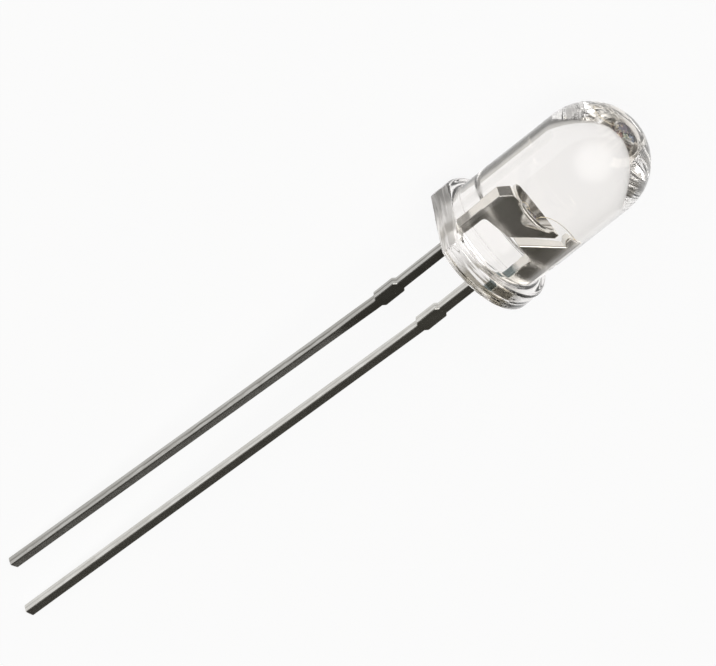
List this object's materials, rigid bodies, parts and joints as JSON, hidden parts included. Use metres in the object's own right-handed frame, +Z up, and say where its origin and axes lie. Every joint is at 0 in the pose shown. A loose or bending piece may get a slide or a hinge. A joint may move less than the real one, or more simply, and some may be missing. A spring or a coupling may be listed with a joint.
{
  "type": "through hole led",
  "caption": "Round water clear LED: domed epoxy lens with a flanged base over a stamped frame with a reflector cup, and straight unequal leads for soldering through a board.",
  "frame": {"origin": "middle of the bounding box's underside: the surface that the flange's rim and both lead tips rest on", "axes": "+X along the lens axis from the lead tips to the dome, +Z up, with the cathode lead and the flange's flat on the +Y side"},
  "size_m": [0.0365, 0.0055, 0.006],
  "materials": {
    "clear_epoxy": "cast water clear resin, glass smooth, with faint flow marks at the flange",
    "plated_steel": "stamped steel strip, silver and tin plated, satin faces with brighter sheared edges",
    "driver_silicon": "polished silicon with a fine metal pattern",
    "red_crystal": "sawn crystal, unlit, with a gold pad",
    "green_crystal": "sawn crystal, unlit, with a gold pad",
    "blue_crystal": "sawn crystal, unlit, with a gold pad",
    "silver_paste": "silver filled adhesive, cured",
    "gold_wire": "drawn gold wire"
  },
  "bodies": {
    "root": {"lens_body": "clear_epoxy", "cathode_lead": "plated_steel", "anode_lead": "plated_steel", "driver_chip": "driver_silicon", "red_chip": "red_crystal", "green_chip": "green_crystal", "blue_chip": "blue_crystal", "driver_paste": "silver_paste", "red_paste": "silver_paste", "green_paste": "silver_paste", "blue_paste": "silver_paste", "supply_wire": "gold_wire", "red_wire": "gold_wire", "green_wire": "gold_wire", "blue_wire": "gold_wire", "return_wire": "gold_wire"}
  },
  "joints": []
}
